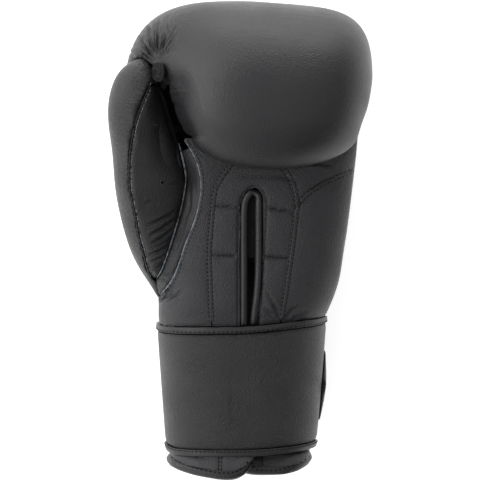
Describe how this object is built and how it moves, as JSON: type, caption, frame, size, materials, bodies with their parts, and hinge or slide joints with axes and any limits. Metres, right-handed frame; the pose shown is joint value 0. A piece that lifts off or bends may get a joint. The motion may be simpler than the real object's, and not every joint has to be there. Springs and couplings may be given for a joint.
{
  "type": "kickboxing glove",
  "caption": "Padded left-hand kickboxing glove lying palm up: curled fist pad, tied-down thumb, slit palm leather, and a wrapped wrist strap over an open cuff.",
  "frame": {"origin": "centre of the glove's box in plan, on the plane that the back of the hand lies on", "axes": "+Y from the cuff's mouth to the knuckles, +Z out of the palm, +X to the little-finger side"},
  "size_m": [0.1674, 0.3019, 0.1294],
  "materials": {
    "black_leather": "satin black leather, fine grain",
    "thin_leather": "thinner black leather, matte",
    "elastic": "woven black elastic"
  },
  "bodies": {
    "root": {"padded_shell": "black_leather", "thumb_pad": "black_leather", "thumb_inner": "thin_leather", "thumb_web": "thin_leather", "palm_thumb_side": "black_leather", "palm_centre": "black_leather", "palm_heel": "black_leather", "palm_finger_side": "black_leather", "slit_binding": "black_leather", "slit_elastic": "elastic", "thumb_lock": "black_leather", "cuff": "black_leather", "cuff_binding": "black_leather", "wrist_strap": "black_leather", "strap_binding_top": "black_leather", "strap_binding_bottom": "black_leather", "closure_tab": "black_leather"}
  },
  "joints": []
}
